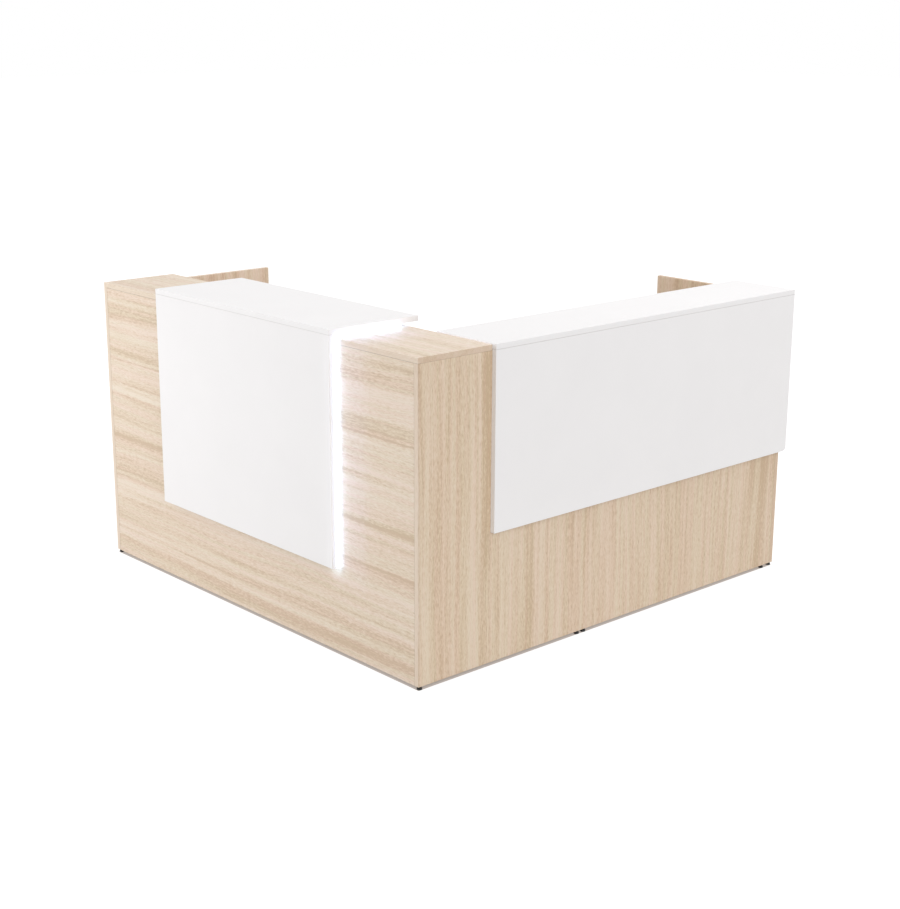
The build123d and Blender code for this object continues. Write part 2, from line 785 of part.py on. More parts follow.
with BuildPart(rocker_plane) as switch_rocker:
    with BuildSketch(rocker_plane.rotated((rocker_tilt, 0, 0))) as rocker_section:
        with BuildLine():
            Polyline(
                (-rocker_root, -rocker_half),
                (pin_depth + switch_bezel_t + rocker_crown, -rocker_half),
                (pin_depth + switch_bezel_t + rocker_dip, 0),
                (pin_depth + switch_bezel_t + rocker_crown, rocker_half),
                (-rocker_root, rocker_half),
                close=True,
            )
        make_face()
    extrude(amount=rocker_w / 2, both=True)
    Cylinder(pin_d / 2 + running_clear, 2 * rocker_w, mode=Mode.SUBTRACT)
save(switch_rocker, "switch_rocker")

# ---------------------------------------------------------------- cable trays
def cable_tray(frame, length):
    """Add a bent-sheet tray that hangs under a work surface by its two flanges."""
    section_plane = Plane(frame.location.position, x_dir=frame.y_dir, z_dir=frame.x_dir)
    with BuildSketch(section_plane) as section:
        with Locations((0, -tray_drop + tray_sheet / 2)):
            Rectangle(tray_w, tray_sheet)
        for side in (-1, 1):
            with Locations((side * (tray_w - tray_sheet) / 2, -tray_drop / 2)):
                Rectangle(tray_sheet, tray_drop)
            with Locations((side * (tray_w + tray_flange) / 2, -tray_sheet / 2)):
                Rectangle(tray_flange, tray_sheet)
    extrude(to_extrude=section.sketch, amount=length / 2, both=True)
    with Locations(frame):
        with Locations(*tray_screws_at(length)):
            rod(screw_r + shank_clear, 0, tray_sheet, mode=Mode.SUBTRACT)


with BuildPart() as left_cable_tray:
    cable_tray(left_tray_frame, left_tray_len)
save(left_cable_tray, "left_cable_tray")

with BuildPart() as right_cable_tray:
    cable_tray(right_tray_frame, right_tray_len)
save(right_cable_tray, "right_cable_tray")

# ---------------------------------------------------------------- grommets
ledge_top = grommet_flange_t - cap_t - cap_lift
sleeve_in = grommet_r - grommet_wall

for side, (x, y) in grommets.items():
    axis_plane = Plane((x, y, worktop_z), x_dir=(1, 0, 0), z_dir=(0, -1, 0))
    with BuildPart() as grommet_sleeve:
        with BuildSketch(axis_plane):
            with BuildLine():
                Polyline(
                    (sleeve_in, grommet_flange_t),
                    (grommet_flange_r, grommet_flange_t),
                    (grommet_flange_r, 0),
                    (grommet_r, 0),
                    (grommet_r, -grommet_long),
                    (sleeve_in, -grommet_long),
                    (sleeve_in, ledge_top - ledge_t),
                    (sleeve_in - ledge_w, ledge_top - ledge_t),
                    (sleeve_in - ledge_w, ledge_top),
                    (sleeve_in, ledge_top),
                    close=True,
                )
            make_face()
        revolve(axis=Axis((x, y, 0), (0, 0, 1)))
        fillet(edges().group_by(Axis.Z)[-1].sort_by(SortBy.LENGTH)[-1], grommet_rim_r)
    save(grommet_sleeve, f"grommet_sleeve_{side}")

    with BuildPart() as grommet_cap:
        with Locations((x, y, worktop_z + grommet_flange_t)):
            Cylinder(
                sleeve_in - cap_clear,
                cap_t,
                align=(Align.CENTER, Align.CENTER, Align.MAX),
            )
            with Locations((0, -sleeve_in, -cap_t / 2)):
                Box(notch_w, 2 * (notch_in + cap_clear), 2 * cap_t, mode=Mode.SUBTRACT)
        fillet(edges().group_by(Axis.Z)[-1], cap_edge_r)
    save(grommet_cap, f"grommet_cap_{side}")

# ---------------------------------------------------------------- brackets, arms and plates
with BuildPart() as worktop_brackets:
    with Locations(*(left_worktop_sites + right_worktop_sites)):
        angle_bracket(bracket_leg, bracket_leg, bracket_w, bracket_t)
save(worktop_brackets, "worktop_brackets")

with BuildPart() as counter_arms:
    with Locations(*(front_arms + side_arms)):
        angle_bracket(arm_reach, arm_drop, arm_w, arm_t)
save(counter_arms, "counter_arms")

with BuildPart() as joining_plates:
    with Locations(*(panel_plates + worktop_plates)):
        block((0, plate_t), (-plate_len / 2, plate_len / 2), (-plate_w / 2, plate_w / 2))
        with Locations(*plate_screws):
            rod(screw_r + shank_clear, 0, plate_t, mode=Mode.SUBTRACT)
save(joining_plates, "joining_plates")

with BuildPart() as counter_packers:
    with Locations(*white_counter_joints):
        rod(packer_r, -packer_t, 0)
        rod(bolt_r + shank_clear, -packer_t, 0, mode=Mode.SUBTRACT)
    with Locations(*(Location((edge_mid_x, p.origin.Y, carcass_z)) for p in white_counter_joints[:-1])):
        block((board_t / 2, packer_r), (-packer_r, packer_r), (0, packer_t), mode=Mode.SUBTRACT)
save(counter_packers, "counter_packers")

# ---------------------------------------------------------------- fasteners
with BuildPart() as cam_locks:
    with Locations(*(flush_joints + white_counter_joints)):
        with Locations((cam_reach, 0, board_t / 2)):
            Cylinder(cam_d / 2, cam_depth, align=(Align.CENTER, Align.CENTER, Align.MAX))
        rod(cam_pocket_r, 0, cam_reach + cam_pocket_r, mode=Mode.SUBTRACT)
save(cam_locks, "cam_locks")

with BuildPart() as cam_bolts:
    with Locations(*flush_joints):
        rod(bolt_r, 0, cam_reach + bolt_r)
        rod(bolt_thread_r, -bolt_thread_len, 0)
    with Locations(*white_counter_joints):
        rod(bolt_r, -packer_t, cam_reach + bolt_r)
        rod(bolt_thread_r, -packer_t - bolt_thread_len, -packer_t)
save(cam_bolts, "cam_bolts")

with BuildPart() as dowels:
    with Locations(*flush_joints):
        with Locations((0, dowel_pitch, 0)):
            rod(dowel_r, -dowel_out, dowel_in)
save(dowels, "dowels")

with BuildPart() as bracket_screws:
    with Locations(*(left_worktop_sites + right_worktop_sites)):
        with Locations(*bracket_screws_at(bracket_leg, bracket_leg, bracket_t)):
            screw(bracket_t)
save(bracket_screws, "bracket_screws")

with BuildPart() as arm_screws:
    with Locations(*(front_arms + side_arms)):
        with Locations(*bracket_screws_at(arm_reach, arm_drop, arm_t)):
            screw(arm_t)
save(arm_screws, "arm_screws")

with BuildPart() as joining_screws:
    with Locations(*(panel_plates + worktop_plates)):
        with Locations(*plate_screws):
            screw(plate_t)
save(joining_screws, "joining_screws")

with BuildPart() as tray_screws:
    with Locations(left_tray_frame):
        with Locations(*tray_screws_at(left_tray_len)):
            screw(tray_sheet)
    with Locations(right_tray_frame):
        with Locations(*tray_screws_at(right_tray_len)):
            screw(tray_sheet)
save(tray_screws, "tray_screws")

with BuildPart() as wrap_screws:
    with Locations(*(wrap_front_screws + wrap_top_screws)):
        screw(board_t + wrap_gap)
save(wrap_screws, "wrap_screws")

with BuildPart() as cladding_screws:
    with Locations(*(corner_cladding_screws + side_cladding_screws)):
        screw(board_t)
save(cladding_screws, "cladding_screws")

with BuildPart() as driver_screw_pair:
    with Locations(*driver_screws):
        screw(driver_ear_t)
save(driver_screw_pair, "driver_screws")

# ---------------------------------------------------------------- levelling feet
with BuildPart() as foot_inserts:
    with Locations(*((x, y, foot_gap) for x, y in feet.values())):
        Cylinder(insert_r, insert_len, align=(Align.CENTER, Align.CENTER, Align.MIN))
        Cylinder(
            insert_bore_r,
            insert_len,
            align=(Align.CENTER, Align.CENTER, Align.MIN),
            mode=Mode.SUBTRACT,
        )
save(foot_inserts, "foot_inserts")

for place, (x, y) in feet.items():
    with BuildPart() as foot:
        with BuildSketch(Plane((x, y, 0), x_dir=(1, 0, 0), z_dir=(0, -1, 0))):
            with BuildLine():
                Polyline(
                    (0, 0),
                    (foot_r - foot_bevel / 2, 0),
                    (foot_r, foot_bevel / 2),
                    (foot_r, foot_pad_h - foot_bevel),
                    (foot_r - foot_bevel, foot_pad_h),
                    (foot_neck_r, foot_pad_h),
                    (foot_neck_r, foot_gap - foot_clear),
                    (stud_r, foot_gap - foot_clear),
                    (stud_r, foot_gap + stud_len),
                    (0, foot_gap + stud_len),
                    close=True,
                )
            make_face()
        revolve(axis=Axis((x, y, 0), (0, 0, 1)))
    save(foot, f"foot_{place}")
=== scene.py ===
import bpy
import math
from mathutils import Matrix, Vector


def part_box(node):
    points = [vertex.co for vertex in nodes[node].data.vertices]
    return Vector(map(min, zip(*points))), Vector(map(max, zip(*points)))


# Reception desk in an L: oak-look laminate boards, white boards that stand off them, a light line in
# the gap. Metres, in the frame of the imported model.

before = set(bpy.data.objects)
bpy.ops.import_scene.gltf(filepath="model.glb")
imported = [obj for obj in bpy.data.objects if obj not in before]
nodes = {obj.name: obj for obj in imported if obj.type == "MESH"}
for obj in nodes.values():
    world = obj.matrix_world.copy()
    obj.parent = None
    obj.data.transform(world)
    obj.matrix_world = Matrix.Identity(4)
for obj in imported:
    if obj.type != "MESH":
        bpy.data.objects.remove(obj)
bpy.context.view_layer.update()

# ---------------------------------------------------------------- camera
CAMERA_AT = (4.4336, -3.9704, 2.0724)
CAMERA_TURN = (74.500, -0.223, 47.936)  # degrees, XYZ
CAMERA_LENS = 64.01  # millimetres
SENSOR_WIDTH = 36.0  # millimetres along the image's longer side
CAMERA_REACH = 200.0  # farther than the edge of the floor

# ---------------------------------------------------------------- light levels
WORLD_LEVEL = 0.72
FLOOR_GLOW = 0.76  # what the camera sees of the open floor without any light on it
FLOOR_COLOUR = 0.45
LED_LEVEL = 6.5
LED_COLOUR = (0.42, 0.64, 1.0)  # cool enough to whiten warm wood
SPILL_COLOUR = (0.30, 0.38, 1.0)
WRAP_SPILL_COLOUR = (0.82, 0.86, 1.0)


# ---------------------------------------------------------------- places, read from the frame
def low(node, axis):
    """Lowest place of a CAD node along an axis."""
    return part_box(node)[0]["xyz".index(axis)]


def high(node, axis):
    """Highest place of a CAD node along an axis."""
    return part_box(node)[1]["xyz".index(axis)]


# Outer faces of the wooden body, and the inner ends of its two wings.
FACE_LEFT = low("left_end_panel", "x")
FACE_RIGHT = high("right_front_panel", "x")
FACE_FRONT = low("left_front_panel", "y")
FACE_FAR = high("right_end_panel", "y")
WING_REAR = high("left_end_panel", "y")
WING_INNER = low("right_end_panel", "x")

PANEL_TOP = high("left_front_panel", "z")
COUNTER_TOP = high("left_counter", "z")
COUNTER_REAR = high("left_counter", "y")

# The white wrap's lit edge, outer face and lower edge.
WRAP_EDGE = high("wrap_front", "x")
WRAP_FACE = low("wrap_front", "y")
WRAP_FOOT = low("wrap_front", "z")


# ---------------------------------------------------------------- node helpers
def linear(red, green, blue):
    """Scene-linear colour of a screen colour given in 0 to 255."""

    def channel(value):
        value /= 255
        return value / 12.92 if value <= 0.04045 else ((value + 0.055) / 1.055) ** 2.4

    return (channel(red), channel(green), channel(blue), 1.0)


class Look:
    """One material and the short calls that build its nodes."""

    def __init__(self, name, roughness, metallic=0.0, specular=0.5):
        self.material = bpy.data.materials.new(name)
        self.material.use_nodes = True
        self.tree = self.material.node_tree
        self.tree.nodes.clear()
        self.shader = self.node("ShaderNodeBsdfPrincipled")
        output = self.node("ShaderNodeOutputMaterial")
        self.link(self.shader.outputs["BSDF"], output.inputs["Surface"])
        self.shader.inputs["Roughness"].default_value = roughness
        self.shader.inputs["Metallic"].default_value = metallic
        self.shader.inputs["Specular IOR Level"].default_value = specular
        coordinates = self.node("ShaderNodeTexCoord")
        self.place = coordinates.outputs["Object"]
        self.normal = coordinates.outputs["Normal"]

    def node(self, kind, **settings):
        made = self.tree.nodes.new(kind)
        for key, value in settings.items():
            setattr(made, key, value)
        return made

    def link(self, output, socket):
        self.tree.links.new(output, socket)

    def feed(self, socket, value):
        """Link an output to a socket, or write a plain number or colour on it."""
        if isinstance(value, bpy.types.NodeSocket):
            self.link(value, socket)
        else:
            socket.default_value = value

    def math(self, operation, first, second=0.0, clamp=False):
        made = self.node("ShaderNodeMath", operation=operation, use_clamp=clamp)
        self.feed(made.inputs[0], first)
        self.feed(made.inputs[1], second)
        return made.outputs[0]

    def vector(self, operation, first, second):
        made = self.node("ShaderNodeVectorMath", operation=operation)
        self.feed(made.inputs[0], first)
        self.feed(made.inputs[1], second)
        return made.outputs[0]

    def noise(self, place, per_metre, detail=2.0, roughness=0.5):
        """Noise of one fineness all ways, or of its own fineness along each axis."""
        fineness = per_metre if isinstance(per_metre, tuple) else (per_metre,) * 3
        made = self.node("ShaderNodeTexNoise")
        self.link(self.vector("MULTIPLY", place, fineness), made.inputs["Vector"])
        made.inputs["Scale"].default_value = 1.0
        made.inputs["Detail"].default_value = detail
        made.inputs["Roughness"].default_value = roughness
        return made.outputs[0]

    def ramp(self, factor, *stops):
        """Colours or grey levels between (place, value) stops."""
        made = self.node("ShaderNodeValToRGB")
        self.link(factor, made.inputs["Fac"])
        elements = made.color_ramp.elements
        while len(elements) < len(stops):
            elements.new(0.5)
        for element, (place, value) in zip(elements, stops):
            element.position = place
            element.color = value if isinstance(value, tuple) else (value, value, value, 1.0)
        return made.outputs["Color"]

    def mix(self, factor, first, second, blend="MIX"):
        """Mix two colours, which are the node's inputs 6 and 7, into its output 2."""
        made = self.node("ShaderNodeMix", data_type="RGBA", blend_type=blend)
        self.feed(made.inputs["Factor"], factor)
        self.feed(made.inputs[6], first)
        self.feed(made.inputs[7], second)
        return made.outputs[2]

    def near(self, coordinate, at, reach):
        """1 at one place along a coordinate, falling to 0 at a reach from it."""
        gap = self.math("ABSOLUTE", self.math("SUBTRACT", coordinate, at))
        return self.math("SUBTRACT", 1.0, self.math("DIVIDE", gap, reach), clamp=True)

    def axes(self, vector):
        """The three numbers of a vector by the names of the axes."""
        made = self.node("ShaderNodeSeparateXYZ")
        self.link(vector, made.inputs[0])
        return dict(zip("xyz", made.outputs))

    def seams(self, colour, lines):
        """Darken a colour along thin (axis, place, reach, depth) lines, where two boards meet."""
        places = self.axes(self.place)
        for axis, at, reach, depth in lines:
            dark = self.math("MULTIPLY", self.near(places[axis], at, reach), depth)
            colour = self.mix(dark, colour, SEAM)
        return colour

    def bump(self, height, distance):
        """Fine relief, with its full height in metres."""
        made = self.node("ShaderNodeBump")
        made.inputs["Distance"].default_value = distance
        made.inputs["Strength"].default_value = 1.0
        self.link(height, made.inputs["Height"])
        self.link(made.outputs["Normal"], self.shader.inputs["Normal"])

    def colour(self, value):
        self.feed(self.shader.inputs["Base Color"], value)

    def roughness(self, value):
        self.feed(self.shader.inputs["Roughness"], value)


# ---------------------------------------------------------------- laminates
SEAM = (0.10, 0.06, 0.03, 1.0)  # scene-linear colour deep in a joint between two boards
OAK_LIGHT = linear(238, 223, 208)
OAK_MID = linear(228, 209, 188)
OAK_DARK = linear(211, 188, 163)
OAK_PORE = linear(182, 158, 134)
PANEL_EDGE = linear(238, 222, 205)
# Painted shade: a darker, warmer edge colour for the right end panel's edges and the counter's ends, which
# face the shaded side.
SHADED_SIDE_EDGE = linear(208, 181, 155)
COUNTER_EDGE = linear(228, 211, 192)

# What the print's colour is multiplied by where it leans to pink and to yellow.
PINK_LEAN = (1.005, 0.977, 0.974, 1.0)
YELLOW_LEAN = (0.988, 1.003, 0.972, 1.0)

# Fineness of each layer of the print per metre, along the grain and across it.
DRIFT = (1.1, 2.6)
RIPPLE = (17.0, 50.0)
BANDS = (0.30, 15.0)
STREAKS = (0.9, 44.0)
FIBRES = (45.0, 230.0)
FLECKS = (75.0, 330.0)
PORES = (26.0, 620.0)
LEAN = (0.6, 40.0)

STREAK_WEIGHT = 0.40
FIBRE_WEIGHT = 0.28
FLECK_WEIGHT = 0.20

DRIFT_REACH = 0.055  # metres across the grain from one side of the drift to the other
RIPPLE_REACH = 0.007
SEED_STEP = (3.1, 5.7, 2.3)  # metres from the print of one seed to that of the next
FIGURE_WANDER = 0.22  # share of the streaks' wander that the figure follows
FIGURE_STRONG = 0.10  # a band's darkening in the dark parts of the print
FIGURE_WEAK = 0.05  # and in the light ones
BEFORE_RISE = 0.3  # share of its depth that a band has before the rise
PORE_DEPTH = 0.30
PORE_SINK = 0.6
OAK_RELIEF = 0.00012
FACING = 0.72  # a face looks along an axis where its normal has more than this of it
EDGE_PRINT = 0.45  # share of the print in an edge strip


def along(axis, along_value, across_value):
    """Vector with one value along an axis and another across it."""
    return tuple(along_value if axis == name else across_value for name in "xyz")


def oak_wander(look, start, grain):
    """How far the streaks are moved across the grain: a slow drift with a small ripple on it."""
    drift = look.noise(start, along(grain, *DRIFT), detail=1.0)
    ripple = look.noise(start, along(grain, *RIPPLE), detail=1.0)
    drift = look.math("MULTIPLY", look.math("SUBTRACT", drift, 0.5), DRIFT_REACH)
    ripple = look.math("MULTIPLY", look.math("SUBTRACT", ripple, 0.5), RIPPLE_REACH)
    return look.math("ADD", drift, ripple)


def oak_figure(look, blend, bands, level, along_grain, figure, rise):
    """Darken the print along the bands of a figure, more so where the print is dark anyway. A band may
    also be painted shadow.
    """
    strength = look.ramp(bands, (0.35, FIGURE_STRONG), (0.60, FIGURE_WEAK))
    if rise:
        start, end = rise
        grown = look.math("DIVIDE", look.math("SUBTRACT", along_grain, start), end - start, clamp=True)
        grown = look.math("ADD", look.math("MULTIPLY", grown, 1.0 - BEFORE_RISE), BEFORE_RISE)
        strength = look.math("MULTIPLY", strength, grown)
    for at, reach, depth in figure:
        band = look.math("MULTIPLY", strength, depth)
        blend = look.math("SUBTRACT", blend, look.math("MULTIPLY", look.near(level, at, reach), band))
    return blend


def looks_along(look, axis):
    """1 where a face looks along an axis, and 0 elsewhere."""
    return look.math("GREATER_THAN", look.math("ABSOLUTE", look.axes(look.normal)[axis]), FACING)


def oak(
    name, grain, thickness, seed, tone=None, edge=PANEL_EDGE, end=None,
    bold=0.36, fine=1.0, figure=(), rise=(), seams=(),
):
    """Oak-look laminate, with the grain along one axis and edge strips that face across the thickness.

    Bold weighs the print's broad bands and fine its lines, and a tone multiplies the face's colour; on
    some boards that tone is painted shade. The figure is a row of (place across the grain, reach, depth)
    bands that run the board's whole length, and grow to their full depth between the two places of a rise
    along the grain. A depth below 0 lightens. A band may also be painted shadow.
    The strips at the ends of the grain may have a colour of their own.
    """
    look = Look(name, roughness=0.5)
    across = next(axis for axis in "xyz" if axis not in (grain, thickness))
    start = look.vector("ADD", look.place, tuple(seed * step for step in SEED_STEP))
    wander = oak_wander(look, start, grain)
    shifts = look.node("ShaderNodeCombineXYZ")
    look.link(wander, shifts.inputs["xyz".index(across)])
    place = look.vector("ADD", start, shifts.outputs[0])

    bands = look.noise(place, along(grain, *BANDS))
    streaks = look.noise(place, along(grain, *STREAKS), detail=3.0, roughness=0.85)
    fibres = look.noise(place, along(grain, *FIBRES), roughness=0.6)
    flecks = look.noise(place, along(grain, *FLECKS), detail=1.0)
    pores = look.noise(place, along(grain, *PORES), detail=1.0)
    lean = look.noise(place, along(grain, *LEAN), detail=3.0, roughness=0.8)

    # Whatever the weights of the layers are, their blend has its mean at one half.
    layers = (
        (bands, bold),
        (streaks, STREAK_WEIGHT * fine),
        (fibres, FIBRE_WEIGHT * fine),
        (flecks, FLECK_WEIGHT * fine),
    )
    blend = (1.0 - sum(weight for layer, weight in layers)) / 2
    for layer, weight in layers:
        blend = look.math("ADD", blend, look.math("MULTIPLY", layer, weight))
    if figure:
        places = look.axes(look.place)
        level = look.math("ADD", places[across], look.math("MULTIPLY", wander, FIGURE_WANDER))
        blend = oak_figure(look, blend, bands, level, places[grain], figure, rise)
    face = look.ramp(blend, (0.38, OAK_DARK), (0.47, OAK_MID), (0.58, OAK_LIGHT))

    face = look.mix(1.0, face, look.ramp(lean, (0.43, PINK_LEAN), (0.57, YELLOW_LEAN)), blend="MULTIPLY")
    if tone:
        face = look.mix(1.0, face, (*tone, 1.0), blend="MULTIPLY")

    # Short open pores.
    dots = look.ramp(pores, (0.26, 1.0), (0.36, 0.0))
    face = look.mix(look.math("MULTIPLY", dots, PORE_DEPTH), face, OAK_PORE)

    # Edge strips are plainer: a flat colour with some of the print in it.
    if end:
        edge = look.mix(looks_along(look, grain), edge, end)
    strip = look.mix(EDGE_PRINT, edge, face)
    look.colour(look.seams(look.mix(looks_along(look, thickness), strip, face), seams))
    look.roughness(look.ramp(fibres, (0.3, 0.56), (0.7, 0.46)))
    look.bump(look.math("ADD", fibres, look.math("MULTIPLY", dots, -PORE_SINK)), OAK_RELIEF)
    return look.material


def white_laminate(name, seams):
    """White melamine with a very fine pebbled texture."""
    look = Look(name, roughness=0.42)
    pebble = look.noise(look.place, 900, detail=1.0)
    cloud = look.noise(look.place, 5, detail=3.0)
    white = look.ramp(cloud, (0.3, linear(245, 243, 243)), (0.7, linear(247, 245, 245)))
    look.colour(look.seams(white, seams))
    look.roughness(look.ramp(cloud, (0.3, 0.40), (0.7, 0.46)))
    look.bump(pebble, 0.00004)
    return look.material


def batten_board():
    look = Look("batten", roughness=0.6)
    cloud = look.noise(look.place, 30, detail=3.0)
    look.colour(look.ramp(cloud, (0.3, linear(224, 222, 219)), (0.7, linear(232, 230, 228))))
    look.bump(look.noise(look.place, 700), 0.00005)
    return look.material


# ---------------------------------------------------------------- light line
def opal():
    """Opal acrylic, lit evenly from behind."""
    look = Look("opal", roughness=0.35)
    cloud = look.noise(look.place, 40)
    look.colour(look.ramp(cloud, (0.3, linear(246, 247, 250)), (0.7, linear(250, 251, 253))))
    look.shader.inputs["Emission Color"].default_value = (*LED_COLOUR, 1.0)
    look.shader.inputs["Emission Strength"].default_value = LED_LEVEL
    return look.material


def light_chip():
    look = Look("light_chip", roughness=0.3)
    spot = look.noise(look.place, 900, detail=1.0)
    look.colour(look.ramp(spot, (0.3, linear(250, 232, 150)), (0.7, linear(246, 222, 128))))
    return look.material


# ---------------------------------------------------------------- metals and plastics
def cast_zinc():
    look = Look("cast_zinc", roughness=0.42, metallic=1.0)
    grit = look.noise(look.place, 1400)
    look.colour(look.ramp(grit, (0.3, linear(176, 177, 181)), (0.7, linear(196, 197, 201))))
    look.bump(grit, 0.00005)
    return look.material


def plated_steel():
    look = Look("plated_steel", roughness=0.3, metallic=1.0)
    turned = look.noise(look.place, (600, 600, 2600))
    look.colour(look.ramp(turned, (0.3, linear(188, 190, 194)), (0.7, linear(214, 216, 220))))
    look.roughness(look.ramp(turned, (0.3, 0.26), (0.7, 0.40)))
    return look.material


def powder_coat(name, dark, light):
    look = Look(name, roughness=0.55)
    grain = look.noise(look.place, 1100)
    look.colour(look.ramp(grain, (0.35, dark), (0.65, light)))
    look.bump(grain, 0.00008)
    return look.material


def anodised():
    look = Look("anodised", roughness=0.35, metallic=1.0)
    drawn = look.noise(look.place, (2200, 2200, 30))
    look.colour(look.ramp(drawn, (0.3, linear(206, 207, 210)), (0.7, linear(222, 223, 226))))
    return look.material


def brass():
    look = Look("brass", roughness=0.35, metallic=1.0)
    turned = look.noise(look.place, (500, 500, 3000), detail=1.0)
    look.colour(look.ramp(turned, (0.3, linear(190, 158, 92)), (0.7, linear(212, 182, 116))))
    return look.material


def plastic(name, dark, light, roughness):
    look = Look(name, roughness=roughness)
    spread = look.noise(look.place, 60, detail=3.0)
    grain = look.noise(look.place, 1500, detail=1.0)
    look.colour(look.ramp(spread, (0.3, dark), (0.7, light)))
    look.bump(grain, 0.00006)
    return look.material


def beech():
    look = Look("beech", roughness=0.65)
    grain = look.noise(look.place, 900)
    look.colour(look.ramp(grain, (0.3, linear(196, 158, 116)), (0.7, linear(218, 184, 142))))
    look.bump(grain, 0.0001)
    return look.material


# ---------------------------------------------------------------- figure and seams of the visible boards
# A band of a figure is (place across the grain, reach, depth), and a seam is (axis, place, reach, depth).
LEFT_FIGURE = (
    (1.020, 0.012, 0.7), (0.955, 0.050, 1.2), (0.909, 0.018, 0.6), (0.820, 0.022, 0.9),
    (0.786, 0.006, 1.3), (0.880, 0.040, -0.5), (0.697, 0.007, 0.9), (0.650, 0.009, 0.6),
    (0.490, 0.026, 1.1), (0.449, 0.014, 0.8), (0.352, 0.010, 0.8), (0.247, 0.018, 0.8),
    (0.165, 0.028, 1.1), (0.114, 0.006, 1.3), (0.045, 0.060, 0.7),
)
LEFT_SEAMS = (
    ("x", low("left_front_panel", "x"), 0.005, 0.35),
    ("x", high("left_front_panel", "x"), 0.0018, 0.3),
    ("z", PANEL_TOP, 0.0022, 0.5),
)

# The outer boards of the right wing have one dark stave, four bands wide, just before the white cladding.
# It is partly the print and partly a painted shadow of the cladding, and a thin lighter line sharpens its
# outer edge.
STAVE_AND_SHADOW_END = low("right_cladding", "y") - 0.001
STAVE_AND_SHADOW_STEP = 0.011
STAVE_AND_SHADOW = tuple((STAVE_AND_SHADOW_END - step * STAVE_AND_SHADOW_STEP, STAVE_AND_SHADOW_STEP, 2.2) for step in range(4))
CORNER_FIGURE_AND_SHADOW = (
    (-0.872, 0.020, 0.5), *STAVE_AND_SHADOW, (-0.641, 0.006, -1.0), (-0.500, 0.090, -0.9), (0.820, 0.100, 3.2),
)
# The corner's bands, and the painted shadow among them, are weaker towards the bottom and full from the
# rise's upper height.
CORNER_RISE = (0.20, 0.75)
CORNER_SEAMS = (
    ("y", FACE_FRONT + 0.003, 0.004, 0.15),
    ("y", high("right_front_panel", "y"), 0.0025, 0.5),
    ("z", PANEL_TOP, 0.0018, 0.35),
)

COUNTER_FIGURE = ((-0.860, 0.060, 1.1), (-0.620, 0.090, -0.8))
COUNTER_RISE = (-0.9, 0.9)
WRAP_SEAMS = (("z", low("wrap_top", "z"), 0.0018, 0.22),)
SIDE_SEAMS = (("z", low("right_counter", "z"), 0.0018, 0.28),)
# Painted shade: the right wing's boards and the left end panel, whose faces lie in shade, get darker and
# warmer copies of the oak.
SHADED_SIDE_TONE = (0.935, 0.895, 0.835)
SHADED_LEFT_END_TONE = (0.92, 0.885, 0.86)


# ---------------------------------------------------------------- every CAD node gets its material
def dress(material, *names):
    """Give one material to whole CAD nodes."""
    for name in names:
        mesh = nodes[name].data
        mesh.materials.clear()
        mesh.materials.append(material)


dress(oak("oak_left_front", "x", "y", seed=1, figure=LEFT_FIGURE, seams=LEFT_SEAMS), "left_front_panel")
dress(oak("oak_left_end", "z", "x", seed=2, tone=SHADED_LEFT_END_TONE), "left_end_panel")
dress(
    oak("oak_corner", "z", "x", seed=3, tone=SHADED_SIDE_TONE, bold=0.14, fine=1.2,
        figure=CORNER_FIGURE_AND_SHADOW, rise=CORNER_RISE, seams=CORNER_SEAMS),
    "corner_end_panel", "right_front_panel",
)
dress(oak("oak_right_end", "z", "y", seed=5, tone=SHADED_SIDE_TONE, edge=SHADED_SIDE_EDGE), "right_end_panel")
dress(
    oak("oak_left_counter", "x", "z", seed=6, edge=COUNTER_EDGE, end=SHADED_SIDE_EDGE, bold=0.20,
        figure=COUNTER_FIGURE, rise=COUNTER_RISE),
    "left_counter",
)
dress(oak("oak_left_worktop", "x", "z", seed=7), "left_worktop")
dress(oak("oak_right_worktop", "y", "z", seed=8), "right_worktop")
dress(white_laminate("white_wrap", WRAP_SEAMS), "wrap_front", "wrap_top")
dress(white_laminate("white_side", SIDE_SEAMS), "right_cladding", "right_counter")
dress(batten_board(), "wrap_front_battens", "wrap_top_battens")
dress(opal(), "led_diffuser_front", "led_diffuser_top")
dress(anodised(), "led_channel_front", "led_channel_top")
dress(plastic("light_strip", linear(232, 232, 228), linear(242, 242, 240), 0.5), "led_strips")
dress(light_chip(), "led_chips")
dress(plastic("driver_case", linear(228, 228, 226), linear(236, 236, 235), 0.45), "led_driver")
dress(plastic("switch_black", linear(24, 24, 25), linear(30, 30, 31), 0.32), "switch_housing")
dress(plastic("rocker_black", linear(30, 30, 31), linear(36, 36, 37), 0.25), "switch_rocker")
dress(plated_steel(), "switch_pin", *[name for name in nodes if name.endswith("screws")])
dress(cast_zinc(), "cam_locks", "cam_bolts")
dress(
    powder_coat("silver_coat", linear(192, 194, 197), linear(206, 208, 210)),
    "left_cable_tray", "right_cable_tray", "worktop_brackets", "counter_arms", "joining_plates",
)
dress(
    plastic("grommet_grey", linear(122, 123, 125), linear(132, 133, 135), 0.5),
    *[name for name in nodes if name.startswith("grommet")],
)
dress(plastic("packer_white", linear(226, 226, 222), linear(234, 234, 231), 0.5), "counter_packers")
dress(beech(), "dowels")
dress(brass(), "foot_inserts")
dress(
    plastic("foot_black", linear(18, 18, 18), linear(26, 26, 26), 0.45),
    *[name for name in nodes if name.startswith("foot_") and name != "foot_inserts"],
)

